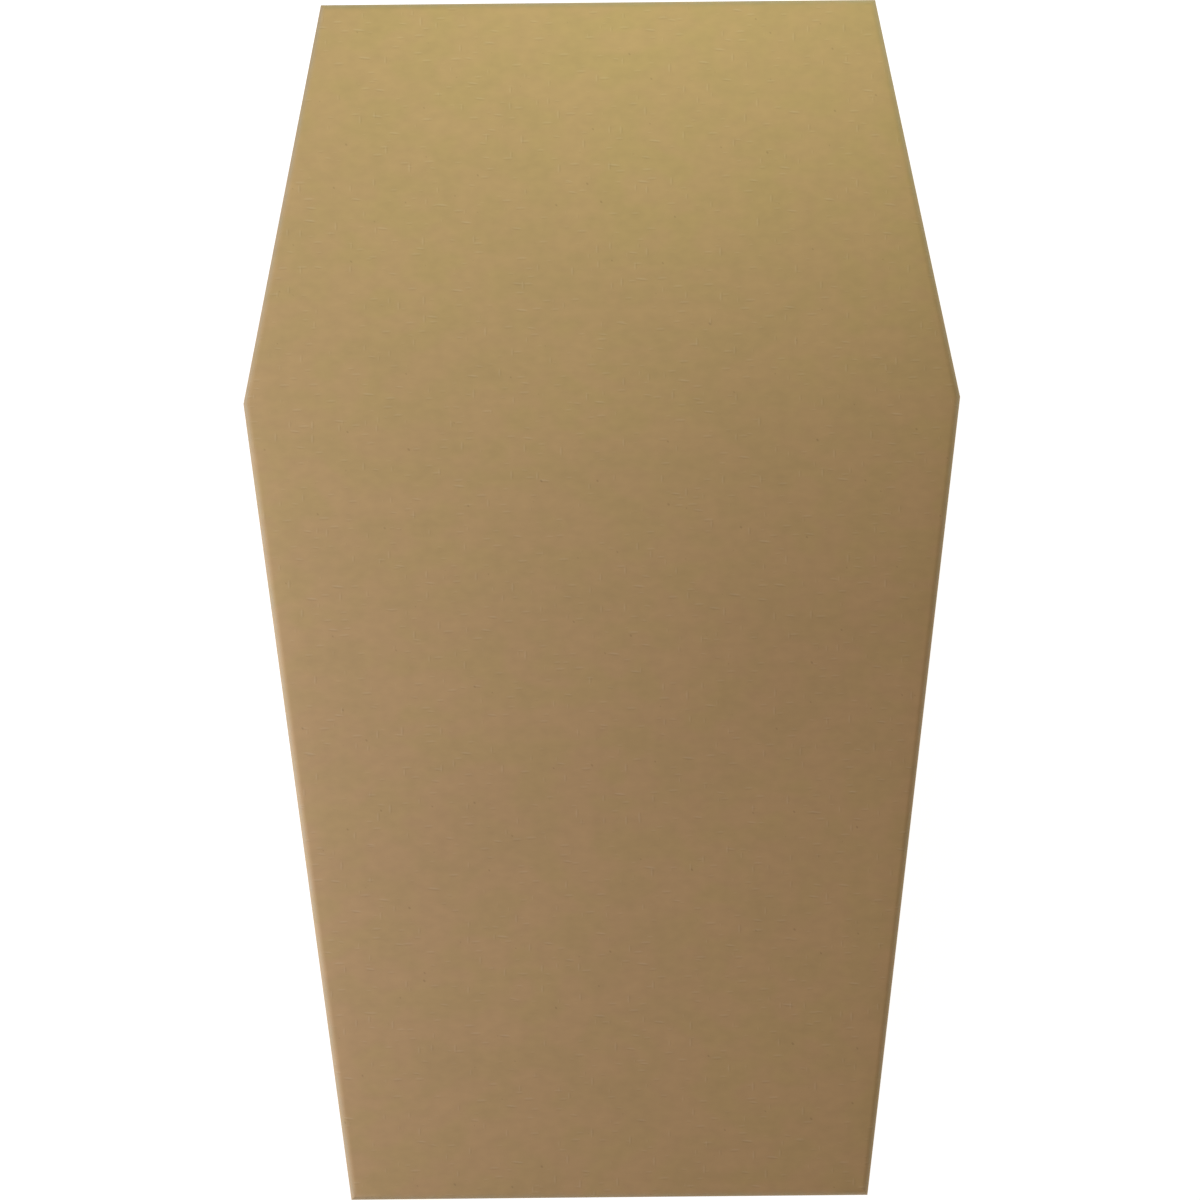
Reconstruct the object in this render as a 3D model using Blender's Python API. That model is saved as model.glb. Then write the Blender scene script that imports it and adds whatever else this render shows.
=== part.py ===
"""Cardboard pet coffin: a six-sided base tray under a lift-off lid, each folded from one blank.

Both blanks are single-wall corrugated kraft board, creased, folded and glued at six corner flaps.
Metres, with +Y towards the head end and +Z up. The origin is on the ground under the middle.
"""

import math

import bmesh
import bpy
from mathutils import Vector

# Outline of the lid seen from above, over its outer faces
LENGTH = 0.500
HEAD_WIDTH = 0.232
SHOULDER_WIDTH = 0.300
FOOT_WIDTH = 0.216
SHOULDER_FROM_HEAD = 0.1665

# Heights
BASE_HEIGHT = 0.160  # underside of the floor to the tops of the base walls
LID_RIM_DEPTH = 0.060  # top of the lid to the cut edge of its rim

# Board
BOARD = 0.003  # thickness of the corrugated board
FOLD_RADIUS = 0.003  # outside radius of a crease
FOLD_SEGMENTS = 4  # facets round a crease

# Fits
LID_PLAY = 0.001  # from the flaps inside the lid to the base, all round
REST_GAP = 0.0003  # between the lid's panel and the wall tops that carry it

# Corner flaps
LID_FLAP_LENGTH = 0.036  # along the wall that covers the flap
BASE_FLAP_LENGTH = 0.040
FLAP_SET_BACK = 0.002  # from a flap's edges to the panel and to the open edge
FLAP_SHANK = 0.006  # how far a flap keeps its full width past the corner
FLAP_TAPER = 0.005  # how much narrower it is at each edge of its free end

# Corner seams, where a wall's cut end meets the fold of its neighbour
SEAM_DEPTH = 0.001  # from the neighbour's outer face to the bottom of the seam
SEAM_FACETS = 3  # facets round the fold beside a seam
CUT_MARGIN = 0.002  # how far a cutter reaches past the board

# Walls run anticlockwise seen from above: head, upper left, lower left, foot, lower right, upper
# right. Wall i starts at corner i, and corner 0 is the head end's right corner.
HEAD, UPPER_LEFT, LOWER_LEFT, FOOT, LOWER_RIGHT, UPPER_RIGHT = range(6)

# The wall that stays outside at each corner. The other wall's flap is glued behind it.
OUTER_WALLS = (HEAD, HEAD, LOWER_LEFT, FOOT, FOOT, LOWER_RIGHT)

# Finish of each board: colour, roughness
LID_FINISH = ((0.42, 0.29, 0.15), 0.82)
BASE_FINISH = ((0.40, 0.27, 0.14), 0.84)


def clear_scene():
    """Start from an empty file."""
    for thing in list(bpy.data.objects):
        bpy.data.objects.remove(thing, do_unlink=True)


def board_material(name, finish):
    """Plain kraft board."""
    colour, roughness = finish
    material = bpy.data.materials.new(name)
    material.use_nodes = True
    shader = material.node_tree.nodes["Principled BSDF"]
    shader.inputs["Base Color"].default_value = (*colour, 1.0)
    shader.inputs["Roughness"].default_value = roughness
    shader.inputs["Metallic"].default_value = 0.0
    material.diffuse_color = (*colour, 1.0)
    return material


def lid_outline():
    """The six corners of the lid's outer faces, anticlockwise from the head end's right corner."""
    head = LENGTH / 2
    foot = -LENGTH / 2
    shoulder = head - SHOULDER_FROM_HEAD
    right = [(HEAD_WIDTH / 2, head), (FOOT_WIDTH / 2, foot), (SHOULDER_WIDTH / 2, shoulder)]
    head_right, foot_right, shoulder_right = [Vector(point) for point in right]
    head_left, foot_left, shoulder_left = [Vector((-x, y)) for x, y in right]
    return [head_right, head_left, shoulder_left, foot_left, foot_right, shoulder_right]


def inward(along):
    """The normal that points into an anticlockwise outline."""
    return Vector((-along.y, along.x))


def inset_outline(corners, distance):
    """Every side moved in by the distance, and met again at the corners."""
    moved = []
    for i, corner in enumerate(corners):
        before = (corner - corners[i - 1]).normalized()
        after = (corners[(i + 1) % len(corners)] - corner).normalized()
        bisector = (inward(before) + inward(after)).normalized()
        moved.append(corner + bisector * (distance / bisector.dot(inward(after))))
    return moved


def corner_frame(corners, i):
    """At corner i, the directions along and into its outer wall, then its flap's own wall."""
    count = len(corners)
    forward = (corners[(i + 1) % count] - corners[i]).normalized()
    backward = (corners[i - 1] - corners[i]).normalized()
    into_forward = inward(forward)
    into_backward = inward(-backward)
    if OUTER_WALLS[i] == i:
        return forward, into_forward, backward, into_backward
    return backward, into_backward, forward, into_forward


def add_block(bm, near_ring, far_ring):
    """A closed solid between two flat rings of matching points."""
    near = [bm.verts.new(point) for point in near_ring]
    far = [bm.verts.new(point) for point in far_ring]
    bm.faces.new(near)
    bm.faces.new(far)
    for k in range(len(near)):
        bm.faces.new((near[k - 1], near[k], far[k], far[k - 1]))


def finish_object(bm, name):
    """Turn a bmesh into an object with its faces pointing out."""
    bmesh.ops.recalc_face_normals(bm, faces=bm.faces)
    mesh = bpy.data.meshes.new(name)
    bm.to_mesh(mesh)
    bm.free()
    thing = bpy.data.objects.new(name, mesh)
    bpy.context.collection.objects.link(thing)
    return thing


def folded_board(name, corners, panel_z, rim_z):
    """The panel and its six walls, as thick as the board, with rounded creases between them."""
    open_way = math.copysign(1.0, rim_z - panel_z)
    bm = bmesh.new()
    panel = bm.faces.new([bm.verts.new((x, y, panel_z)) for x, y in corners])
    walls = bmesh.ops.extrude_face_region(bm, geom=[panel])
    rim = [part for part in walls["geom"] if isinstance(part, bmesh.types.BMFace)]
    rim_verts = [part for part in walls["geom"] if isinstance(part, bmesh.types.BMVert)]
    bmesh.ops.translate(bm, verts=rim_verts, vec=(0.0, 0.0, rim_z - panel_z))
    bmesh.ops.recalc_face_normals(bm, faces=bm.faces)
    bmesh.ops.inset_region(bm, faces=rim, thickness=BOARD, use_even_offset=True)
    hollow = bmesh.ops.extrude_face_region(bm, geom=rim)
    bmesh.ops.delete(bm, geom=rim, context="FACES_ONLY")
    hollow_verts = [part for part in hollow["geom"] if isinstance(part, bmesh.types.BMVert)]
    depth = panel_z + open_way * BOARD - rim_z
    bmesh.ops.translate(bm, verts=hollow_verts, vec=(0.0, 0.0, depth))
    near_panel = BOARD / 2
    creases = [e for e in bm.edges if all(abs(v.co.z - panel_z) < near_panel for v in e.verts)]
    bmesh.ops.bevel(
        bm,
        geom=creases,
        offset=FOLD_RADIUS,
        offset_type="OFFSET",
        segments=FOLD_SEGMENTS,
        profile=0.5,
        affect="EDGES",
    )
    return finish_object(bm, name)


def flap_face(corners, i, length, depth, low, high):
    """One face of the flap at corner i, this deep behind the outer wall's outer face."""
    along, into, flap_along, flap_into = corner_frame(corners, i)
    # The root runs down the middle of the flap's own wall, which slants across the depth
    middle = flap_into * (BOARD / 2)
    reach = (depth - middle.dot(into)) / flap_along.dot(into)
    root = (middle + flap_along * reach).dot(along)
    elevation = [
        (root, low),
        (FLAP_SHANK, low),
        (length, low + FLAP_TAPER),
        (length, high - FLAP_TAPER),
        (FLAP_SHANK, high),
        (root, high),
    ]
    behind = corners[i] + into * depth
    return [(*(behind + along * run), z) for run, z in elevation]


def corner_flaps(name, corners, length, panel_z, rim_z):
    """Six flaps with tapered free ends, as one guide that is joined to the walls."""
    open_way = math.copysign(1.0, rim_z - panel_z)
    fold_side = panel_z + open_way * (BOARD + FLAP_SET_BACK)
    open_side = rim_z - open_way * FLAP_SET_BACK
    low, high = sorted((fold_side, open_side))
    bm = bmesh.new()
    for i in range(len(corners)):
        outer_face = flap_face(corners, i, length, BOARD / 2, low, high)
        inner_face = flap_face(corners, i, length, BOARD * 2, low, high)
        add_block(bm, outer_face, inner_face)
    return finish_object(bm, name)


def seam_plan(corners, i):
    """Plan of what is open between the outer wall's square-cut end and its neighbour's fold."""
    along, into, flap_along, flap_into = corner_frame(corners, i)
    corner = corners[i]
    outside = corner - into * CUT_MARGIN
    slope = into.dot(flap_into)
    if slope * BOARD < SEAM_DEPTH:
        # A corner near square bares the whole cut end, down to its inner edge
        start = BOARD * into.dot(flap_along)
        plan = [outside, corner + into * BOARD]
    else:
        start = SEAM_DEPTH / slope * into.dot(flap_along)
        plan = [outside]
    turn = math.acos((FOLD_RADIUS - SEAM_DEPTH) / FOLD_RADIUS)
    fold_end = start + FOLD_RADIUS * math.sin(turn)
    for step in range(SEAM_FACETS + 1):
        angle = turn * (1 - step / SEAM_FACETS)
        reach = fold_end - FOLD_RADIUS * math.sin(angle)
        depth = FOLD_RADIUS * (1 - math.cos(angle))
        plan.append(corner + flap_along * reach + flap_into * depth)
    plan.append(corner + flap_along * fold_end - flap_into * CUT_MARGIN)
    return plan


def corner_seams(name, corners, panel_z, rim_z):
    """Six cutters, from the crease to past the open edge."""
    open_way = math.copysign(1.0, rim_z - panel_z)
    low, high = sorted((panel_z + open_way * FOLD_RADIUS, rim_z + open_way * CUT_MARGIN))
    bm = bmesh.new()
    for i in range(len(corners)):
        plan = seam_plan(corners, i)
        add_block(bm, [(*point, low) for point in plan], [(*point, high) for point in plan])
    return finish_object(bm, name)


def use_as_tool(thing, tool, operation):
    """Join or cut with a guide that isn't part of the object itself."""
    tool.hide_render = True
    tool.display_type = "WIRE"
    tool.parent = thing
    modifier = thing.modifiers.new(tool.name, "BOOLEAN")
    modifier.operation = operation
    modifier.object = tool
    modifier.solver = "EXACT"


def build_tray(name, inset, flap_length, panel_z, rim_z, finish):
    """One folded and glued blank."""
    corners = inset_outline(lid_outline(), inset)
    tray = folded_board(name, corners, panel_z, rim_z)
    tray.data.materials.append(board_material(name + "_board", finish))
    flaps = corner_flaps(name + "_flaps_guide", corners, flap_length, panel_z, rim_z)
    use_as_tool(tray, flaps, "UNION")
    seams = corner_seams(name + "_seams_cutter", corners, panel_z, rim_z)
    use_as_tool(tray, seams, "DIFFERENCE")
    return tray


def build():
    """The base, and the lid where it rests on the base walls."""
    clear_scene()
    lid_top = BASE_HEIGHT + REST_GAP + BOARD
    base_inset = 2 * BOARD + LID_PLAY
    build_tray("base", base_inset, BASE_FLAP_LENGTH, 0.0, BASE_HEIGHT, BASE_FINISH)
    build_tray("lid", 0.0, LID_FLAP_LENGTH, lid_top, lid_top - LID_RIM_DEPTH, LID_FINISH)


build()
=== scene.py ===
"""Cardboard pet coffin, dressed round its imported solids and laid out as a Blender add-on.

The base tray and the lid are each one blank of single-wall corrugated kraft board, folded, with glued
corner flaps. Metres, +Y towards the head end, +Z up.
"""

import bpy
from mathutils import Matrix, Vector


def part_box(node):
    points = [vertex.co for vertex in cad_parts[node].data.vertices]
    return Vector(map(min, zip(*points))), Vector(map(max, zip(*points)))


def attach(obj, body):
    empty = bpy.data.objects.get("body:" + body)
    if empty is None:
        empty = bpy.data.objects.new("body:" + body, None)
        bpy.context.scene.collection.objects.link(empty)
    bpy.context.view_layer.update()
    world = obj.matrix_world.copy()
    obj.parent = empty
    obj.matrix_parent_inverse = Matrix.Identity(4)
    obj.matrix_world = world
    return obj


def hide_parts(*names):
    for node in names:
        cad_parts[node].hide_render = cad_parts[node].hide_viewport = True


bl_info = {
    "name": "Cardboard pet coffin",
    "version": (1, 0, 0),
    "blender": (4, 5, 0),
    "location": "3D View > Sidebar > Coffin",
    "description": "Folds a six-sided cardboard tray and its lift-off lid, and sets a pale stage",
    "category": "Add Mesh",
}

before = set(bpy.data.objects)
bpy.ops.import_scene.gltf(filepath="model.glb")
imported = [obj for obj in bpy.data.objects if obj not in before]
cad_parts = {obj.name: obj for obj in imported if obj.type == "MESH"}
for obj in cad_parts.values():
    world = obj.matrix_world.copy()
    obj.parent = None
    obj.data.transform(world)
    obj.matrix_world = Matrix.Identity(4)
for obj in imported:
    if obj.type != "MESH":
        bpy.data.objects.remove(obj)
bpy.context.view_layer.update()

import math
from collections import namedtuple

import bmesh
import bpy
from bpy.props import FloatProperty, FloatVectorProperty, PointerProperty
from mathutils import Vector

LID_LOW, LID_HIGH = (Vector(corner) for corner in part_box("lid"))
BASE_LOW, BASE_HIGH = (Vector(corner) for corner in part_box("base"))

# How the board is modelled
SIDES = 6  # walls, corners and flaps of each tray
OPENS_UP, OPENS_DOWN = 1.0, -1.0  # the way a tray's hollow faces
CREASE_FACETS = 8  # facets round each crease beside the panel
FLAP_FACET = math.radians(15)  # turn of one facet round a flap's fold
HEM = 0.0005  # straight board joined at the corner, just past the crease
NICK = 0.0006  # height over which a corner parts into two free walls
GLUE = 0.0001  # film of glue between a flap and the wall over it
PANEL_RINGS = (0.012, 0.016, 0.022, 0.024, 0.018)  # widths of the rings inside the panel's edges
EASE_MARGIN = 0.016  # from a wall's ends to the first cut that lets it bow
EASE_STEP = 0.02  # distance between those cuts
EASE_SPAN = 0.09  # how far in from the creases the panel's sag is complete
ROW_LIFT = 1.0  # how far a shaped row of the panel is held clear of the rows still to shape
NEAR = 0.00002  # how close two places count as the same
LEVEL = 0.999  # upright part of a normal above which a face is level
UPRIGHT = 0.5  # upright part of a normal below which a face is a wall's
SMOOTH_ANGLE = math.radians(32)

# How the flutes are modelled where the board is cut
CUT_SLOT = 1  # material slot of the liners' cut edges
FLUTE_STEPS = 12  # facets along one wave of the medium
FLUTE_BITE = 0.00003  # how far the flutes reach into each liner

# Noise in the liner: length and width of its features, the pattern's offset, and its detail
CLOUDS = (0.075, 0.055, 3.1, 2.0)
DRIFTS = (0.020, 0.013, 7.7, 1.0)
FORMATION = (0.0060, 0.0038, 12.3, 1.0)
FELT = (0.0030, 0.0007, 17.9, 1.0)
WEAR_AND_SHEEN = (0.004, 0.009, 31.0, 3.0)
# How strongly clouds, drifts, formation and felt vary the tone
MOTTLE = (0.05, 0.08, 0.11, 0.02)
HUE_LEVELS = (0.4, 0.6)  # levels of a noise between which one kraft turns into the next
PATCH_LEVELS = (0.3, 0.7)  # noise levels between which scuff and painted sheen, and tufts, set in
WEAR_AND_SHEEN_SHARES = (0.3, 0.65)  # how far scuff and painted sheen cover a bend, least and most

# Fibres in the liner: length, width, distance apart, turn, and how far the pale fibre and the painted
# shadow beside it show
FIBRES = (
    (0.0052, 0.0010, 0.0080, 0.03, 0.17, 0.10),
    (0.0060, 0.0009, 0.0150, -0.10, 0.24, 0.14),
    (0.0045, 0.0010, 0.0110, 1.57, 0.18, 0.11),
)
FIBRE_OFFSET = 1.7  # from the pattern of one kind of fibre to the next
FIBRE_ASIDE = 0.3  # from the middle of a fibre and its painted shadow line to either one, per width
# Bark specks: length, width, distance apart, offset, and how far they show
BARK = ((0.0017, 0.0011, 0.020, 2.3, 0.28),)
FLECK_EDGE = 0.5  # part of a fibre's or speck's reach over which it fades in

# Tufts of crushed fibre in the cut edges
LINER_TUFT = 0.0006
MEDIUM_TUFT = 0.0012
TUFT_SHADE = 0.6  # how far the darkest hollows between tufts take the dark colour

# Heights of what stands out of the paper
FORMATION_RELIEF = 0.00001
FLUTE_RELIEF = 0.000003
TUFT_RELIEF = 0.00008

# Gloss of the papers
PAPER_IOR = 1.47
LINER_SPECULAR = 0.3
CUT_SPECULAR = 0.2
LINER_ROUGHNESS = 0.74
FORMATION_ROUGHNESS = 0.12  # what the formation adds to it at most
CUT_ROUGHNESS = 0.9

# Walls run anticlockwise seen from above. Wall i starts at corner i, and corner 0 is the head end's
# right corner.
HEAD, UPPER_LEFT, LOWER_LEFT, FOOT, LOWER_RIGHT, UPPER_RIGHT = range(SIDES)
# The wall that stays outside at each corner. The other wall's flap is glued behind it.
OUTER_WALLS = (HEAD, HEAD, LOWER_LEFT, FOOT, FOOT, LOWER_RIGHT)
SHOULDERS = (LOWER_LEFT, UPPER_RIGHT)  # corners with the wide angle

# The lit table that everything stands on
TABLE_RADIUS = 30.0
TABLE_SIDES = 96
TABLE_ROUGHNESS = 0.9

# Lights: place, the point that each one faces, and the side of its square
KEY_LIGHT = ((-0.52, -0.176, 0.422), (0.805, 0.624, 0.163), 0.23)
HEAD_LIGHT = ((0.173, 0.458, 0.667), (-0.082, 1.029, 0.163), 0.572)

SENSOR = 36.0  # side of the camera's sensor, in millimetres

# Places in the photograph, in its own pixels, that the camera is set by
PHOTO_SIDE = 1200
PHOTO_LENGTH = 1194.5  # from the head edge to the foot edge
PHOTO_MIDDLE = (603.7, 600.0)  # middle of the lid


def linear(hex_colour):
    """An sRGB hex colour as linear red, green and blue."""
    channels = [int(hex_colour[i:i + 2], 16) / 255 for i in (1, 3, 5)]
    return tuple(c / 12.92 if c <= 0.04045 else ((c + 0.055) / 1.055) ** 2.4 for c in channels)


def length_setting(name, description, default):
    """A length that the user can change."""
    return FloatProperty(name=name, description=description, default=default, min=0.0,
                         unit="LENGTH", subtype="DISTANCE", precision=5)


def colour_setting(name, description, hex_colour):
    """A colour that the user can change."""
    return FloatVectorProperty(name=name, description=description, default=linear(hex_colour),
                               min=0.0, max=1.0, size=3, subtype="COLOR")


class CoffinSizes(bpy.types.PropertyGroup):
    """Sizes of the blanks that the solids' boxes don't already give."""

    head_width: length_setting("Head width", "Width of the lid at the head end", 0.232)
    foot_width: length_setting("Foot width", "Width of the lid at the foot end", 0.216)
    shoulder: length_setting("Shoulder", "Distance from the head end to the shoulders", 0.1665)
    board: length_setting("Board", "Thickness of the corrugated board", 0.003)
    liner: length_setting("Liner", "Thickness of each flat paper liner", 0.00032)
    medium: length_setting("Medium", "Thickness of the fluted paper", 0.00026)
    pitch: length_setting("Flute pitch", "Distance from one flute to the next", 0.0065)
    crease: length_setting("Crease", "Inside radius of a fold", 0.0003)
    lid_flap: length_setting("Lid flap", "Length of the glued flaps in the lid", 0.036)
    base_flap: length_setting("Base flap", "Length of the glued flaps in the base", 0.040)
    shank: length_setting("Flap shank", "How far a flap keeps its width past the corner", 0.006)
    taper: length_setting("Flap taper", "How much each edge of a flap narrows", 0.005)
    set_back: length_setting("Flap set-back", "From a flap's edges to the open edge", 0.002)
    shoulder_fold: length_setting("Shoulder fold", "How far back a flap starts at a shoulder", 0.0065)
    cut_depth: length_setting("Cut depth", "How deep the open flutes are modelled", 0.004)
    lid_sag: length_setting("Lid sag", "How far the middle of the lid has sunk", 0.0008)
    base_rise: length_setting("Floor rise", "How far the middle of the floor has risen", 0.0003)
    bow: FloatProperty(name="Bow", description="How far an open edge draws in, per length of wall",
                       default=0.0016, min=0.0, precision=4)


class CoffinColours(bpy.types.PropertyGroup):
    """Colours of the papers and of the stage."""

    kraft: colour_setting("Kraft", "Most of the liner", "#B59868")
    kraft_olive: colour_setting("Olive kraft", "Greener clouds in the liner", "#B59967")
    kraft_warm: colour_setting("Warm kraft", "Redder clouds in the liner", "#B69769")
    fibre: colour_setting("Fibre", "Pale single fibres", "#CDB894")
    # Also the colour of the painted shadow line beside each pale fibre
    bark_and_shadow: colour_setting("Bark", "Dark bark specks", "#6E5637")
    # Scuff, and painted sheen: the greyer tone that the folds reflect from the white surroundings
    scuff_and_sheen: colour_setting("Scuff", "Paper stretched round a crease", "#ABA387")
    cut: colour_setting("Cut edge", "Cut edge of a liner", "#AE9268")
    medium: colour_setting("Medium", "Fluted paper between the liners", "#A28660")
    table: colour_setting("Table", "Milky acrylic of the lit table", "#909090")
    table_glow: colour_setting("Table glow", "Light through the table", "#FFFFFF")


class CoffinStage(bpy.types.PropertyGroup):
    """Camera and light."""

    lens: FloatProperty(name="Lens", description="Focal length in millimetres", default=85.0,
                        min=1.0, subtype="DISTANCE_CAMERA")
    roll: FloatProperty(name="Roll", description="How far the coffin lies turned in the picture",
                        default=math.radians(0.55), subtype="ANGLE")
    key_power: FloatProperty(name="Key power", description="Low soft light on the left side",
                             default=2.98, min=0.0, unit="POWER")
    head_power: FloatProperty(name="Head power", description="Broad light over the head end",
                              default=4.5, min=0.0, unit="POWER")
    table_glow: FloatProperty(name="Table glow", description="How far the table is lit from below",
                              default=0.93, min=0.0)
    ambient: FloatProperty(name="Ambient", description="Light from all round", default=0.415, min=0.0)
    key_tint: colour_setting("Key tint", "Colour of the side light", "#DEE2FF")
    head_tint: colour_setting("Head tint", "Colour of the light over the head end", "#EAFFE1")
    ambient_tint: colour_setting("Ambient tint", "Colour of the light from all round", "#FFF2E8")


# A flat area of the blank, where it lies once folded and where it was in the flat sheet
Leaf = namedtuple("Leaf", "origin across away inward blank_origin blank_across blank_away")
# One folded blank: its outer corners, panel height, open edge height, the way its hollow faces, the
# length of its flaps, and how far its panel has sagged towards the hollow
Tray = namedtuple("Tray", "name corners panel_z rim_z opens flap sag")
# A flap in plan: where its wall starts to bend, the bend's centre and turn, where the bend ends, the
# knee where it lies against the wall that covers it, and its free end
FlapPath = namedtuple("FlapPath", "start centre turn bent knee end")


def tray_outline(sizes, inset):
    """The six corners of a tray's outer faces, moved in from the lid's own outline."""
    head = LID_HIGH.y
    foot = LID_LOW.y
    shoulder = head - sizes.shoulder
    half_shoulder = (LID_HIGH.x - LID_LOW.x) / 2
    right = [(sizes.head_width / 2, head), (sizes.foot_width / 2, foot), (half_shoulder, shoulder)]
    head_right, foot_right, shoulder_right = [Vector(point) for point in right]
    head_left, foot_left, shoulder_left = [Vector((-x, y)) for x, y in right]
    outline = [head_right, head_left, shoulder_left, foot_left, foot_right, shoulder_right]
    moved = []
    for i, corner in enumerate(outline):
        before = into_outline((corner - outline[i - 1]).normalized())
        after = into_outline((outline[(i + 1) % SIDES] - corner).normalized())
        bisector = (before + after).normalized()
        moved.append(corner + bisector * (inset / bisector.dot(after)))
    return moved


def into_outline(along):
    """The normal that points into an anticlockwise outline."""
    return Vector((-along.y, along.x))


def wall_frame(tray, i):
    """The start of wall i, the direction along it, the direction into the tray, and its length."""
    start = tray.corners[i]
    run = tray.corners[(i + 1) % SIDES] - start
    along = run.normalized()
    return start, along, into_outline(along), run.length


def corner_frame(tray, i):
    """At corner i, the directions along and into its outer wall, then its flap's own wall."""
    corner, forward, into_forward, _ = wall_frame(tray, i)
    _, before, into_before, _ = wall_frame(tray, i - 1)
    if OUTER_WALLS[i] == i:
        return corner, forward, into_forward, -before, into_before
    return corner, -before, into_before, forward, into_forward


def wall_leaf(tray, i):
    """Wall i as a leaf of the blank."""
    start, along, into, _ = wall_frame(tray, i)
    return Leaf(
        origin=Vector((*start, tray.panel_z)),
        across=Vector((*along, 0.0)),
        away=Vector((0.0, 0.0, tray.opens)),
        inward=Vector((*into, 0.0)),
        blank_origin=start,
        blank_across=along,
        blank_away=-into,
    )


def outer_bend(sizes):
    """Outside radius of every crease."""
    return sizes.board + sizes.crease


def parted(sizes):
    """How far from the panel the walls have parted from each other at the corners."""
    return outer_bend(sizes) + HEM + NICK


def flap_path(tray, sizes, i):
    """Plan of the flap at corner i, from where its wall starts to bend to its free end."""
    corner, along, into, flap_along, flap_into = corner_frame(tray, i)
    set_back = sizes.board / flap_along.dot(into)
    shank = sizes.shank
    if i in SHOULDERS:
        set_back = sizes.shoulder_fold
        shank = 0.0
    fold = corner + flap_along * set_back
    behind = corner + into * (sizes.board + GLUE)
    knee = behind + along * shank
    onward = (knee - fold).normalized()
    turn = math.atan2(onward.cross(flap_along), -onward.dot(flap_along))
    reach = outer_bend(sizes) * math.tan(abs(turn) / 2)
    start = fold + flap_along * reach
    return FlapPath(
        start=start,
        centre=start + flap_into * outer_bend(sizes),
        turn=turn,
        bent=fold + onward * reach,
        knee=knee,
        end=behind + along * tray.flap,
    )


def flap_leaf(tray, sizes, i):
    """The flap at corner i as a leaf of the blank, measured from its knee."""
    _, along, into, flap_along, flap_into = corner_frame(tray, i)
    path = flap_path(tray, sizes, i)
    flat_run = outer_bend(sizes) * abs(path.turn) + (path.knee - path.bent).length
    return Leaf(
        origin=Vector((*path.knee, tray.panel_z)),
        across=Vector((*along, 0.0)),
        away=Vector((0.0, 0.0, tray.opens)),
        inward=Vector((*into, 0.0)),
        blank_origin=path.start - flap_along * flat_run,
        blank_across=-flap_along,
        blank_away=-flap_into,
    )


def only(thing):
    """Leave one object selected and active."""
    bpy.ops.object.select_all(action="DESELECT")
    thing.select_set(True)
    bpy.context.view_layer.objects.active = thing


def choose(kind, test):
    """In edit mode, select only the vertices, edges or faces that pass the test."""
    bpy.ops.mesh.select_mode(type=kind)
    bpy.ops.mesh.select_all(action="DESELECT")
    mesh = bpy.context.edit_object.data
    bm = bmesh.from_edit_mesh(mesh)
    parts = {"VERT": bm.verts, "EDGE": bm.edges, "FACE": bm.faces}[kind]
    chosen = [part for part in parts if test(part)]
    for part in chosen:
        part.select_set(True)
    bm.select_flush_mode()
    bmesh.update_edit_mesh(mesh)
    if not chosen:
        raise RuntimeError("nothing to select on " + mesh.name)


def middle(part):
    """The middle of an edge or face."""
    return sum((vert.co for vert in part.verts), Vector()) / len(part.verts)


def near_plan(part, place):
    """Whether a part stands over a place in plan."""
    return all((vert.co.xy - place).length < NEAR for vert in part.verts)


def away_from_panel(tray, point):
    """How far a point lies from the panel's outer face, towards the open side."""
    return (point.z - tray.panel_z) * tray.opens


def start_panel(tray):
    """A plane, shaped into the six-sided panel: a head row, a shoulder row and a foot row."""
    bpy.ops.object.select_all(action="DESELECT")
    bpy.ops.mesh.primitive_grid_add(x_subdivisions=1, y_subdivisions=2, size=1.0)
    sheet = bpy.context.object
    sheet.name = tray.name
    sheet.data.name = tray.name
    bpy.ops.object.mode_set(mode="EDIT")
    for row, side in ((0.5, HEAD), (0.0, UPPER_RIGHT), (-0.5, LOWER_RIGHT)):
        corner = tray.corners[side]
        choose("VERT", lambda vert: abs(vert.co.y - row) < NEAR and abs(vert.co.z) < NEAR)
        bpy.ops.transform.resize(value=(2 * corner.x, 1.0, 1.0), center_override=(0.0, 0.0, 0.0))
        # Each row is lifted far up, so that the next row isn't mixed with it
        bpy.ops.transform.translate(value=(0.0, corner.y - row, ROW_LIFT))
    bpy.ops.mesh.select_all(action="SELECT")
    bpy.ops.transform.translate(value=(0.0, 0.0, tray.panel_z - ROW_LIFT))
    return sheet


def extrude_edges(offset):
    """Pull the selected edges out into new board."""
    bpy.ops.mesh.extrude_edges_move(TRANSFORM_OT_translate={"value": tuple(offset)})


def fold_walls(tray, sizes):
    """Fold the hem down all round, part it at each flap, and bring the six walls down from it."""
    hem = outer_bend(sizes) + HEM
    choose("EDGE", lambda edge: edge.is_boundary)
    extrude_edges((0.0, 0.0, hem * tray.opens))
    for i in range(SIDES):
        _, _, _, flap_along, flap_into = corner_frame(tray, i)
        start = flap_path(tray, sizes, i).start

        def in_own_hem(face):
            """Whether a face is in the hem of the flap's own wall."""
            centre = middle(face)
            along_wall = abs((centre.xy - start).dot(flap_into)) < NEAR
            return along_wall and away_from_panel(tray, centre) > NEAR

        choose("FACE", in_own_hem)
        bpy.ops.mesh.bisect(plane_co=(*start, tray.panel_z), plane_no=(*flap_along, 0.0))

    longest_stub = 2 * sizes.shoulder_fold

    def hem_edge(edge):
        """Whether an edge is a wall's at the hem's foot, not the stub between a flap and its corner."""
        level = all(abs(away_from_panel(tray, vert.co) - hem) < NEAR for vert in edge.verts)
        return level and edge.calc_length() > longest_stub

    choose("EDGE", hem_edge)
    extrude_edges((0.0, 0.0, NICK * tray.opens))
    extrude_edges((0.0, 0.0, tray.rim_z - tray.panel_z - (hem + NICK) * tray.opens))


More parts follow.
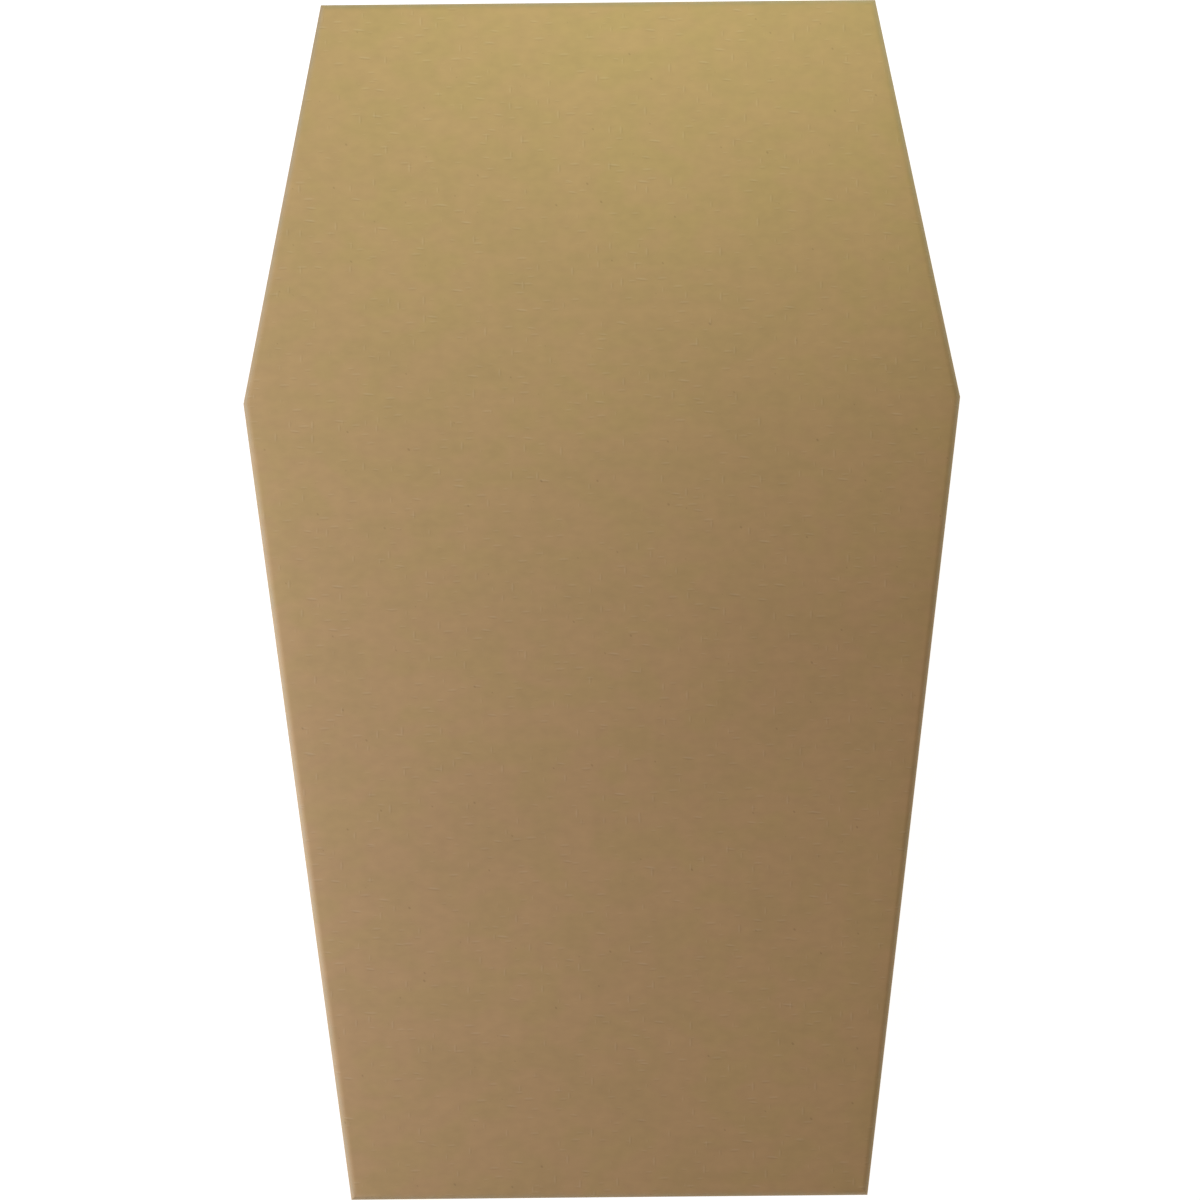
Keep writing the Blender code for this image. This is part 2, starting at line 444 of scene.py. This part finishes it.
def fold_flap(tray, sizes, i):
    """Fold the flap at corner i off its own wall and lay it behind the wall that covers it."""
    path = flap_path(tray, sizes, i)
    top = parted(sizes)

    def move_ends(place, near_move, far_move):
        """Move the flap's panel side and its open side, over one place in plan."""
        half = abs(tray.rim_z - tray.panel_z) / 2
        for side, move in ((-1.0, near_move), (1.0, far_move)):

            def on_side(vert):
                """Whether a vertex stands over the place, on this side of the wall's middle."""
                over = (vert.co.xy - place).length < NEAR
                return over and (away_from_panel(tray, vert.co) - half) * side > 0

            choose("VERT", on_side)
            bpy.ops.transform.translate(value=(0.0, 0.0, move * tray.opens))

    def free_edge(edge):
        """Whether an edge is the free end of the wall, where the flap starts."""
        return near_plan(edge, path.start) and away_from_panel(tray, middle(edge)) > top

    choose("EDGE", free_edge)
    bpy.ops.mesh.spin(
        steps=max(1, round(abs(path.turn) / FLAP_FACET)),
        angle=-path.turn,
        center=(*path.centre, 0.0),
        axis=(0.0, 0.0, 1.0),
    )
    choose("EDGE", lambda edge: near_plan(edge, path.bent))
    extrude_edges((*(path.knee - path.bent), 0.0))
    move_ends(path.knee, sizes.board + sizes.set_back - top, -sizes.set_back)
    choose("EDGE", lambda edge: near_plan(edge, path.knee))
    extrude_edges((*(path.end - path.knee), 0.0))
    move_ends(path.end, sizes.taper, -sizes.taper)


def round_creases(tray, sizes):
    """Round the creases between the panel and the walls."""

    def crease(edge):
        """Whether an edge lies between the panel and a wall."""
        level = all(abs(away_from_panel(tray, vert.co)) < NEAR for vert in edge.verts)
        return level and any(abs(face.normal.z) < UPRIGHT for face in edge.link_faces)

    choose("EDGE", crease)
    bpy.ops.mesh.bevel(
        offset=outer_bend(sizes),
        segments=CREASE_FACETS,
        profile=0.5,
        affect="EDGES",
        clamp_overlap=False,
        loop_slide=False,
    )


def ring_panel():
    """Ring the flat panel inside its edges, so that it can sink smoothly."""
    bpy.ops.mesh.select_all(action="SELECT")
    for step in PANEL_RINGS:
        bpy.ops.mesh.inset(thickness=step, use_boundary=True, use_even_offset=True)


def cut_walls(tray, sizes):
    """Cut each wall across at even steps, clear of its corners, so that it can bow."""
    bend = outer_bend(sizes)
    for i in range(SIDES):
        start, along, into, length = wall_frame(tray, i)

        def in_wall(face):
            """Whether a face is in this wall or its crease, clear of the corners."""
            centre = middle(face)
            inset = (centre.xy - start).dot(into)
            run = (centre.xy - start).dot(along)
            outer = inset < sizes.board - NEAR or away_from_panel(tray, centre) < bend - NEAR
            return outer and inset < bend - NEAR and bend < run < length - bend

        count = round((length - 2 * EASE_MARGIN) / EASE_STEP)
        for k in range(count + 1):
            place = start + along * (EASE_MARGIN + (length - 2 * EASE_MARGIN) * k / count)
            choose("FACE", in_wall)
            bpy.ops.mesh.bisect(plane_co=(*place, tray.panel_z), plane_no=(*along, 0.0))


def ease(tray, sizes, points):
    """Let the panel sink towards the hollow and the open edges draw in, as glued board does."""
    walls = [wall_frame(tray, i) for i in range(SIDES)]
    depth = abs(tray.rim_z - tray.panel_z)
    reach = 2 * sizes.board + outer_bend(sizes)
    for point in points:
        down = away_from_panel(tray, point)
        insets = [(point.xy - start).dot(into) for start, _, into, _ in walls]
        if down < NEAR:
            share = min(1.0, max(0.0, min(insets) - sizes.board) / EASE_SPAN)
            point.z += tray.sag * tray.opens * share * share * (3 - 2 * share)
            continue
        move = Vector((0.0, 0.0))
        for (start, along, into, length), inset in zip(walls, insets):
            run = (point.xy - start).dot(along)
            if inset < reach and 0.0 < run < length:
                move += into * (sizes.bow * length * math.sin(math.pi * run / length) * down / depth)
        point.x += move.x
        point.y += move.y


def leaf_of(tray, sizes, point, normal, leaves, flaps):
    """The leaf that a face of the sheet belongs to, or None for the panel."""
    if abs(normal.z) > LEVEL:
        return None
    if away_from_panel(tray, point) > outer_bend(sizes) + HEM:
        for i in range(SIDES):
            corner, along, into, _, _ = corner_frame(tray, i)
            run = (point.xy - corner).dot(along)
            behind = (point.xy - corner).dot(into)
            if -sizes.shoulder_fold < run < tray.flap and sizes.board / 2 < behind < 2 * sizes.board:
                return flaps[i]
    return max(leaves, key=lambda leaf: -leaf.inward.dot(normal))


def lay_out_blank(tray, sizes, sheet):
    """Give the sheet the UV map of its flat blank, in metres, and mark where it is bent."""
    leaves = [wall_leaf(tray, i) for i in range(SIDES)]
    flaps = [flap_leaf(tray, sizes, i) for i in range(SIDES)]
    mesh = sheet.data
    blank = mesh.uv_layers[0]
    blank.name = "blank"
    for face in mesh.polygons:
        leaf = leaf_of(tray, sizes, Vector(face.center), face.normal, leaves, flaps)
        for loop in face.loop_indices:
            point = mesh.vertices[mesh.loops[loop].vertex_index].co
            if leaf is None:
                blank.data[loop].uv = point.xy
                continue
            offset = point - leaf.origin
            folded_in = offset.dot(leaf.inward) if leaf in leaves else 0.0
            place = leaf.blank_origin + leaf.blank_across * offset.dot(leaf.across)
            blank.data[loop].uv = place + leaf.blank_away * (offset.dot(leaf.away) - folded_in)
    bent = mesh.attributes.new("bent", "FLOAT", "POINT")
    walls = [wall_frame(tray, i) for i in range(SIDES)]
    bend = outer_bend(sizes)
    half_way = bend * (1 - math.sqrt(0.5))
    for vert in mesh.vertices:
        inset = min((vert.co.xy - start).dot(into) for start, _, into, _ in walls)
        down = away_from_panel(tray, vert.co)
        if inset < bend - NEAR and down < bend - NEAR:
            bent.data[vert.index].value = min(1.0, max(0.0, min(inset, down)) / half_way)


def thicken(sheet, sizes, papers):
    """Give the sheet the board's thickness inwards, with its cut edges in their own paper."""
    for paper in papers:
        sheet.data.materials.append(paper)
    wall = sheet.modifiers.new("Board", "SOLIDIFY")
    wall.thickness = sizes.board
    wall.offset = -1.0
    wall.use_even_offset = True
    wall.use_rim = True
    wall.material_offset_rim = CUT_SLOT
    only(sheet)
    bpy.ops.object.modifier_apply(modifier=wall.name)


def open_cut_edges(tray, sizes):
    """Sink the cut edges between the two liners, so that the flutes can be seen in them."""
    bpy.ops.object.mode_set(mode="EDIT")

    def cut_face(face):
        """Whether a face is a cut edge, past where the walls have parted."""
        free = away_from_panel(tray, middle(face)) > parted(sizes) + NEAR
        return free and face.material_index == CUT_SLOT

    choose("FACE", cut_face)
    bpy.ops.mesh.inset(thickness=sizes.liner, use_boundary=True, use_even_offset=True)
    bpy.ops.mesh.extrude_region_shrink_fatten(
        TRANSFORM_OT_shrink_fatten={"value": -sizes.cut_depth, "use_even_offset": True}
    )
    bpy.ops.object.mode_set(mode="OBJECT")


def flute_run(tray, sizes, leaf, start, end, paper):
    """The fluted paper along one cut edge, from start to end across the leaf, and into the board."""
    across, away = end[0] - start[0], end[1] - start[1]
    length = math.hypot(across, away)
    along = (leaf.across * across + leaf.away * away) / length
    blank_along = (leaf.blank_across * across + leaf.blank_away * away) / length
    into = (leaf.away * across - leaf.across * away) / -length
    blank_into = (leaf.blank_away * across - leaf.blank_across * away) / -length
    origin = leaf.origin + leaf.across * start[0] + leaf.away * start[1]
    blank_origin = leaf.blank_origin + leaf.blank_across * start[0] + leaf.blank_away * start[1]

    # The flutes run the length of the blank, so the wave goes across it
    flute_turn = 2 * math.pi / sizes.pitch
    steps = [max(2, round(size * abs(slope) / sizes.pitch * FLUTE_STEPS))
             for size, slope in ((length, blank_along.x), (sizes.cut_depth, blank_into.x))]
    bpy.ops.object.select_all(action="DESELECT")
    bpy.ops.mesh.primitive_grid_add(x_subdivisions=steps[0], y_subdivisions=steps[1], size=1.0)
    flutes = bpy.context.object
    mesh = flutes.data
    mesh.uv_layers[0].name = "blank"
    room = sizes.board / 2 - sizes.liner - sizes.medium / 2 + FLUTE_BITE
    places = []
    for vert in mesh.vertices:
        run = (vert.co.x + 0.5) * length
        deep = (vert.co.y + 0.5) * (sizes.cut_depth + FLUTE_BITE)
        places.append(blank_origin + blank_along * run + blank_into * deep)
        wave = room * math.sin(flute_turn * places[-1].x)
        vert.co = origin + along * run + into * deep + leaf.inward * (sizes.board / 2 + wave)
    for loop in mesh.loops:
        mesh.uv_layers[0].data[loop.index].uv = places[loop.vertex_index]
    ease(tray, sizes, [vert.co for vert in mesh.vertices])
    mesh.materials.append(paper)
    thickness = flutes.modifiers.new("Paper", "SOLIDIFY")
    thickness.thickness = sizes.medium
    thickness.offset = 0.0
    bpy.ops.object.modifier_apply(modifier=thickness.name)
    bpy.ops.object.shade_smooth_by_angle(angle=SMOOTH_ANGLE)
    return flutes


def cut_edge_runs(tray, sizes):
    """Each straight cut edge as its leaf, its start and its end, with the board on its left."""
    depth = abs(tray.rim_z - tray.panel_z)
    top = parted(sizes) + sizes.liner
    bottom = depth - sizes.cut_depth
    runs = []
    for i in range(SIDES):
        leaf = wall_leaf(tray, i)
        start, along, _, length = wall_frame(tray, i)
        ends = [0.0, length]
        for side, corner in enumerate((i, (i + 1) % SIDES)):
            if OUTER_WALLS[corner] != i:
                ends[side] = (flap_path(tray, sizes, corner).start - start).dot(along)
        runs.append((leaf, (ends[0], depth), (ends[1], depth)))
        if OUTER_WALLS[i] == i:
            runs.append((leaf, (0.0, top), (0.0, bottom)))
        if OUTER_WALLS[(i + 1) % SIDES] == i:
            runs.append((leaf, (length, bottom), (length, top)))
    for i in range(SIDES):
        leaf = flap_leaf(tray, sizes, i)
        path = flap_path(tray, sizes, i)
        length = (path.end - path.knee).length
        near = sizes.board + sizes.set_back
        far = depth - sizes.set_back
        near_end = near + sizes.taper
        far_end = far - sizes.taper
        runs.append((leaf, (0.0, far), (length, far_end)))
        runs.append((leaf, (length, far_end - sizes.cut_depth), (length, near_end + sizes.cut_depth)))
        runs.append((leaf, (length, near_end), (0.0, near)))
    return runs


def face_outwards(tray, sheet):
    """Turn every face the same way, with the panel's face away from the hollow."""
    bpy.ops.mesh.select_all(action="SELECT")
    bpy.ops.mesh.normals_make_consistent(inside=False)
    bm = bmesh.from_edit_mesh(sheet.data)
    panel = max(bm.faces, key=lambda face: face.calc_area() * abs(face.normal.z))
    if panel.normal.z * tray.opens > 0:
        bpy.ops.mesh.flip_normals()


def build_tray(tray, sizes, papers):
    """One folded and glued blank, in its place."""
    liner, edge, medium = papers
    sheet = start_panel(tray)
    ring_panel()
    fold_walls(tray, sizes)
    for i in range(SIDES):
        fold_flap(tray, sizes, i)
    bpy.ops.mesh.select_all(action="SELECT")
    bpy.ops.mesh.remove_doubles(threshold=NEAR / 2)
    bpy.ops.mesh.normals_make_consistent(inside=False)
    round_creases(tray, sizes)
    cut_walls(tray, sizes)
    face_outwards(tray, sheet)
    bpy.ops.object.mode_set(mode="OBJECT")
    lay_out_blank(tray, sizes, sheet)
    ease(tray, sizes, [vert.co for vert in sheet.data.vertices])
    thicken(sheet, sizes, (liner, edge))
    open_cut_edges(tray, sizes)
    bpy.ops.object.shade_smooth_by_angle(angle=SMOOTH_ANGLE)
    flutes = [flute_run(tray, sizes, *run, medium) for run in cut_edge_runs(tray, sizes)]
    bpy.ops.object.select_all(action="DESELECT")
    for part in (*flutes, sheet):
        part.select_set(True)
    bpy.context.view_layer.objects.active = sheet
    bpy.ops.object.join()
    return sheet


def add_node(tree, kind, inputs, **options):
    """Add a node, set its options, set or link its inputs, and give its outputs."""
    node = tree.nodes.new(kind)
    for option, value in options.items():
        setattr(node, option, value)
    for name, value in inputs.items():
        if isinstance(value, bpy.types.NodeSocket):
            tree.links.new(value, node.inputs[name])
        else:
            node.inputs[name].default_value = value
    return node.outputs


def new_material(name):
    """An empty material, its node tree and its shader."""
    material = bpy.data.materials.new(name)
    material.use_nodes = True
    return material, material.node_tree, material.node_tree.nodes["Principled BSDF"]


def solid(colour):
    """A colour setting as a socket value."""
    return (*colour, 1.0)


def kraft_liner(name, colours, sizes):
    """Unbleached kraft linerboard, made from long pine fibres laid mostly along the machine.

    The eye sees a dull tan sheet, faintly cloudy, with short pale fibres, a few dark bark specks and
    the faintest print of the flutes from inside.
    """
    material, tree, shader = new_material(name)
    blank = add_node(tree, "ShaderNodeUVMap", {}, uv_map="blank")["UV"]

    def grain(length, width, offset, detail):
        """Noise with features of this size on the blank, in metres."""
        placed = add_node(tree, "ShaderNodeMapping", {
            "Vector": blank,
            "Location": (offset, -offset, 0.0),
            "Scale": (length, width, 1.0),
        }, vector_type="TEXTURE")
        noise = {"Vector": placed[0], "Scale": 1.0, "Detail": detail, "Roughness": 0.5}
        return add_node(tree, "ShaderNodeTexNoise", noise, noise_dimensions="2D")[0]

    def flecks(length, width, spacing, offset, twist):
        """Marks up to this size and about this far apart, turned by the twist, from 0 to 1."""
        # Each cell of the pattern has a mark's own proportions, and the reach is half a mark in cells
        reach = math.sqrt(length * width) / (2 * spacing)
        placed = add_node(tree, "ShaderNodeMapping", {
            "Vector": blank,
            "Location": (*offset, 0.0),
            "Rotation": (0.0, 0.0, twist),
            "Scale": (length / (2 * reach), width / (2 * reach), 1.0),
        }, vector_type="TEXTURE")
        cells = add_node(tree, "ShaderNodeTexVoronoi", {"Vector": placed[0], "Scale": 1.0},
                         voronoi_dimensions="2D", feature="F1")
        chance = add_node(tree, "ShaderNodeSeparateColor", {"Color": cells["Color"]})
        size = add_node(tree, "ShaderNodeMath", {0: chance["Green"], 1: reach}, operation="MULTIPLY")
        inside = add_node(tree, "ShaderNodeMath", {0: size[0], 1: cells["Distance"]},
                          operation="SUBTRACT")
        share = {"Value": inside[0], "From Max": FLECK_EDGE * reach}
        return add_node(tree, "ShaderNodeMapRange", share)[0]

    # The pulp lies in clouds of slightly different thickness and hue
    clouds = grain(*CLOUDS)
    drifts = grain(*DRIFTS)
    formation = grain(*FORMATION)
    felt = grain(*FELT)
    tone = solid(colours.kraft)
    for noise, colour in ((clouds, colours.kraft_olive), (drifts, colours.kraft_warm)):
        amount = add_node(tree, "ShaderNodeMapRange", {
            "Value": noise,
            "From Min": HUE_LEVELS[0],
            "From Max": HUE_LEVELS[1],
        })
        tone = add_node(tree, "ShaderNodeMix", {"Factor": amount[0], 6: tone, 7: solid(colour)},
                        data_type="RGBA")[2]

    # Most fibres lie across the box, as the paper ran, and some along it. Real ones are 0.04 mm thick,
    # and are drawn as thick as they need to be to show. Each has a painted shadow along one side.
    for k, (length, width, spacing, twist, pale, dark) in enumerate(FIBRES):
        # The dark line is painted shadow, drawn in the bark colour beside the pale fibre
        for side, colour, strength in ((-1, colours.bark_and_shadow, dark), (1, colours.fibre, pale)):
            aside = side * FIBRE_ASIDE * width
            offset = (FIBRE_OFFSET * k - aside * math.sin(twist), aside * math.cos(twist))
            lines = flecks(length, width, spacing, offset, twist)
            amount = add_node(tree, "ShaderNodeMath", {0: lines, 1: strength}, operation="MULTIPLY")
            tone = add_node(tree, "ShaderNodeMix", {"Factor": amount[0], 6: tone, 7: solid(colour)},
                            data_type="RGBA")[2]

    # A few bark specks
    for length, width, spacing, offset, strength in BARK:
        specks = flecks(length, width, spacing, (offset, offset), offset)
        amount = add_node(tree, "ShaderNodeMath", {0: specks, 1: strength}, operation="MULTIPLY")
        tone = add_node(tree, "ShaderNodeMix", {"Factor": amount[0], 6: tone, 7: solid(colours.bark_and_shadow)},
                        data_type="RGBA")[2]

    # The liner is stretched and scuffed pale where it is bent, and greyed there by painted sheen
    bent = add_node(tree, "ShaderNodeAttribute", {}, attribute_name="bent")["Fac"]
    patchy = add_node(tree, "ShaderNodeMapRange", {
        "Value": grain(*WEAR_AND_SHEEN),
        "From Min": PATCH_LEVELS[0],
        "From Max": PATCH_LEVELS[1],
        "To Min": WEAR_AND_SHEEN_SHARES[0],
        "To Max": WEAR_AND_SHEEN_SHARES[1],
    })
    scuffed_and_sheen = add_node(tree, "ShaderNodeMath", {0: bent, 1: patchy[0]}, operation="MULTIPLY")
    tone = add_node(tree, "ShaderNodeMix", {"Factor": scuffed_and_sheen[0], 6: tone, 7: solid(colours.scuff_and_sheen)},
                    data_type="RGBA")[2]

    # Thick and thin places in the sheet
    shade = 1.0 - sum(MOTTLE) / 2
    for noise, strength in zip((clouds, drifts, formation, felt), MOTTLE):
        shade = add_node(tree, "ShaderNodeMath", {0: noise, 1: strength, 2: shade},
                         operation="MULTIPLY_ADD")[0]
    toned = add_node(tree, "ShaderNodeVectorMath", {0: tone, "Scale": shade}, operation="SCALE")
    tree.links.new(toned[0], shader.inputs["Base Color"])

    # The flutes show through as a faint washboard
    place = add_node(tree, "ShaderNodeSeparateXYZ", {"Vector": blank})["X"]
    turn = add_node(tree, "ShaderNodeMath", {0: place, 1: 2 * math.pi / sizes.pitch},
                    operation="MULTIPLY")
    wave = add_node(tree, "ShaderNodeMath", {0: turn[0]}, operation="SINE")
    height = add_node(tree, "ShaderNodeMath", {0: formation, 1: FORMATION_RELIEF},
                      operation="MULTIPLY")
    height = add_node(tree, "ShaderNodeMath", {0: wave[0], 1: FLUTE_RELIEF, 2: height[0]},
                      operation="MULTIPLY_ADD")
    bump = add_node(tree, "ShaderNodeBump", {"Strength": 1.0, "Distance": 1.0, "Height": height[0]})
    tree.links.new(bump[0], shader.inputs["Normal"])

    # Uncoated paper scatters light almost evenly
    roughness = add_node(tree, "ShaderNodeMath", {
        0: formation,
        1: FORMATION_ROUGHNESS,
        2: LINER_ROUGHNESS,
    }, operation="MULTIPLY_ADD")
    tree.links.new(roughness[0], shader.inputs["Roughness"])
    shader.inputs["IOR"].default_value = PAPER_IOR
    shader.inputs["Specular IOR Level"].default_value = LINER_SPECULAR
    return material


def cut_paper(name, colour, dark, tuft):
    """Die-cut kraft, its fibres crushed at the edge, so that it looks furry, dull and uneven."""
    material, tree, shader = new_material(name)
    place = add_node(tree, "ShaderNodeTexCoord", {})["Object"]
    tufts = add_node(tree, "ShaderNodeTexNoise", {
        "Vector": place,
        "Scale": 1 / tuft,
        "Detail": 3.0,
        "Roughness": 0.6,
    })
    amount = add_node(tree, "ShaderNodeMapRange", {
        "Value": tufts[0],
        "From Min": PATCH_LEVELS[0],
        "From Max": PATCH_LEVELS[1],
        "To Max": TUFT_SHADE,
    })
    tone = add_node(tree, "ShaderNodeMix", {"Factor": amount[0], 6: solid(colour), 7: solid(dark)},
                    data_type="RGBA")
    tree.links.new(tone[2], shader.inputs["Base Color"])
    height = add_node(tree, "ShaderNodeMath", {0: tufts[0], 1: TUFT_RELIEF}, operation="MULTIPLY")
    bump = add_node(tree, "ShaderNodeBump", {"Strength": 1.0, "Distance": 1.0, "Height": height[0]})
    tree.links.new(bump[0], shader.inputs["Normal"])
    shader.inputs["Roughness"].default_value = CUT_ROUGHNESS
    shader.inputs["IOR"].default_value = PAPER_IOR
    shader.inputs["Specular IOR Level"].default_value = CUT_SPECULAR
    return material


def board_papers(name, colours, sizes):
    """The liner, its cut edge and the fluted medium of one board."""
    return (
        kraft_liner(name + "_liner", colours, sizes),
        cut_paper(name + "_cut", colours.cut, colours.kraft_warm, LINER_TUFT),
        cut_paper(name + "_medium", colours.medium, colours.bark_and_shadow, MEDIUM_TUFT),
    )


def lit_table(colours, stage):
    """Milky acrylic with light behind it, which the eye sees as one even white without a shadow."""
    material, _, shader = new_material("lit_table")
    shader.inputs["Base Color"].default_value = solid(colours.table)
    shader.inputs["Roughness"].default_value = TABLE_ROUGHNESS
    shader.inputs["Specular IOR Level"].default_value = 0.0
    shader.inputs["Emission Color"].default_value = solid(colours.table_glow)
    shader.inputs["Emission Strength"].default_value = stage.table_glow
    return material


def fit(piece, node):
    """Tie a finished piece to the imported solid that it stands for."""
    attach(piece, "root")
    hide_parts(node)


def settings(context):
    """The coffin's sizes, colours and stage settings."""
    scene = context.scene
    return scene.coffin_sizes, scene.coffin_colours, scene.coffin_stage


class COFFIN_OT_base(bpy.types.Operator):
    """Fold the base: a floor, six walls and six glued flaps"""

    bl_idname = "coffin.base"
    bl_label = "Fold the base"

    def execute(self, context):
        sizes, colours, _ = settings(context)
        tray = Tray(
            name="folded_base",
            corners=tray_outline(sizes, LID_HIGH.y - BASE_HIGH.y),
            panel_z=BASE_LOW.z,
            rim_z=BASE_HIGH.z,
            opens=OPENS_UP,
            flap=sizes.base_flap,
            sag=sizes.base_rise,
        )
        piece = build_tray(tray, sizes, board_papers("base", colours, sizes))
        fit(piece, "base")
        return {"FINISHED"}


class COFFIN_OT_lid(bpy.types.Operator):
    """Fold the lid: a panel, six rim walls and six glued flaps"""

    bl_idname = "coffin.lid"
    bl_label = "Fold the lid"

    def execute(self, context):
        sizes, colours, _ = settings(context)
        tray = Tray(
            name="folded_lid",
            corners=tray_outline(sizes, 0.0),
            panel_z=LID_HIGH.z,
            rim_z=LID_LOW.z,
            opens=OPENS_DOWN,
            flap=sizes.lid_flap,
            sag=sizes.lid_sag,
        )
        piece = build_tray(tray, sizes, board_papers("lid", colours, sizes))
        fit(piece, "lid")
        return {"FINISHED"}


def add_light(name, place, target, size, power, colour):
    """A soft square light that points at a target."""
    data = bpy.data.lights.new(name, "AREA")
    data.shape = "SQUARE"
    data.size = size
    data.energy = power
    data.color = colour
    light = bpy.data.objects.new(name, data)
    light.location = place
    light.rotation_euler = (Vector(target) - Vector(place)).to_track_quat("-Z", "Y").to_euler()
    light.visible_camera = False
    bpy.context.scene.collection.objects.link(light)


def add_camera(sizes, stage):
    """A camera straight above the lid, which sees the lid's outline where the photograph shows it."""
    data = bpy.data.cameras.new("camera")
    data.lens = stage.lens
    data.sensor_width = data.sensor_height = SENSOR
    camera = bpy.data.objects.new("camera", data)
    per_pixel = (LID_HIGH.y - LID_LOW.y) / PHOTO_LENGTH
    height = per_pixel * PHOTO_SIDE * stage.lens / SENSOR
    centre = PHOTO_SIDE / 2
    aim = Vector((centre - PHOTO_MIDDLE[0], PHOTO_MIDDLE[1] - centre)) * per_pixel
    # The outline in the picture is the widest part of the folds, one bend below the panel
    camera.location = (aim.x, aim.y, LID_HIGH.z - outer_bend(sizes) + height)
    camera.rotation_euler = (0.0, 0.0, -stage.roll)
    bpy.context.scene.collection.objects.link(camera)
    return camera


class COFFIN_OT_stage(bpy.types.Operator):
    """Set out the lit table, the soft lights and the camera that looks straight down"""

    bl_idname = "coffin.stage"
    bl_label = "Set the stage"

    def execute(self, context):
        sizes, colours, stage = settings(context)
        scene = context.scene
        bpy.ops.object.select_all(action="DESELECT")
        bpy.ops.mesh.primitive_circle_add(
            vertices=TABLE_SIDES,
            radius=TABLE_RADIUS,
            fill_type="NGON",
            location=(0.0, 0.0, 0.0),
        )
        table = context.object
        table.name = "table"
        table.data.materials.append(lit_table(colours, stage))

        add_light("key", *KEY_LIGHT, stage.key_power, stage.key_tint)
        add_light("head", *HEAD_LIGHT, stage.head_power, stage.head_tint)

        world = bpy.data.worlds.new("studio")
        world.use_nodes = True
        background = world.node_tree.nodes["Background"]
        background.inputs["Color"].default_value = solid(stage.ambient_tint)
        background.inputs["Strength"].default_value = stage.ambient
        scene.world = world
        scene.camera = add_camera(sizes, stage)
        scene.view_settings.view_transform = "Standard"
        return {"FINISHED"}


class COFFIN_PT_panel(bpy.types.Panel):
    """Sizes, colours and steps of the coffin"""

    bl_idname = "COFFIN_PT_panel"
    bl_label = "Coffin"
    bl_space_type = "VIEW_3D"
    bl_region_type = "UI"
    bl_category = "Coffin"

    def draw(self, context):
        for operator in OPERATORS:
            self.layout.operator(operator.bl_idname)
        for group in settings(context):
            box = self.layout.box()
            for name in group.bl_rna.properties.keys():
                if name not in {"rna_type", "name"}:
                    box.prop(group, name)


GROUPS = {
    "coffin_sizes": CoffinSizes,
    "coffin_colours": CoffinColours,
    "coffin_stage": CoffinStage,
}
OPERATORS = (COFFIN_OT_base, COFFIN_OT_lid, COFFIN_OT_stage)


def register():
    """Make the settings, the operators and the panel known."""
    for group in GROUPS.values():
        bpy.utils.register_class(group)
    for name, group in GROUPS.items():
        setattr(bpy.types.Scene, name, PointerProperty(type=group))
    for kind in (*OPERATORS, COFFIN_PT_panel):
        bpy.utils.register_class(kind)


def unregister():
    """Take them all away again."""
    for kind in (COFFIN_PT_panel, *reversed(OPERATORS)):
        bpy.utils.unregister_class(kind)
    for name, group in GROUPS.items():
        delattr(bpy.types.Scene, name)
        bpy.utils.unregister_class(group)


def main():
    """Build everything in order."""
    register()
    bpy.ops.coffin.base()
    bpy.ops.coffin.lid()
    bpy.ops.coffin.stage()


if __name__ == "__main__":
    main()
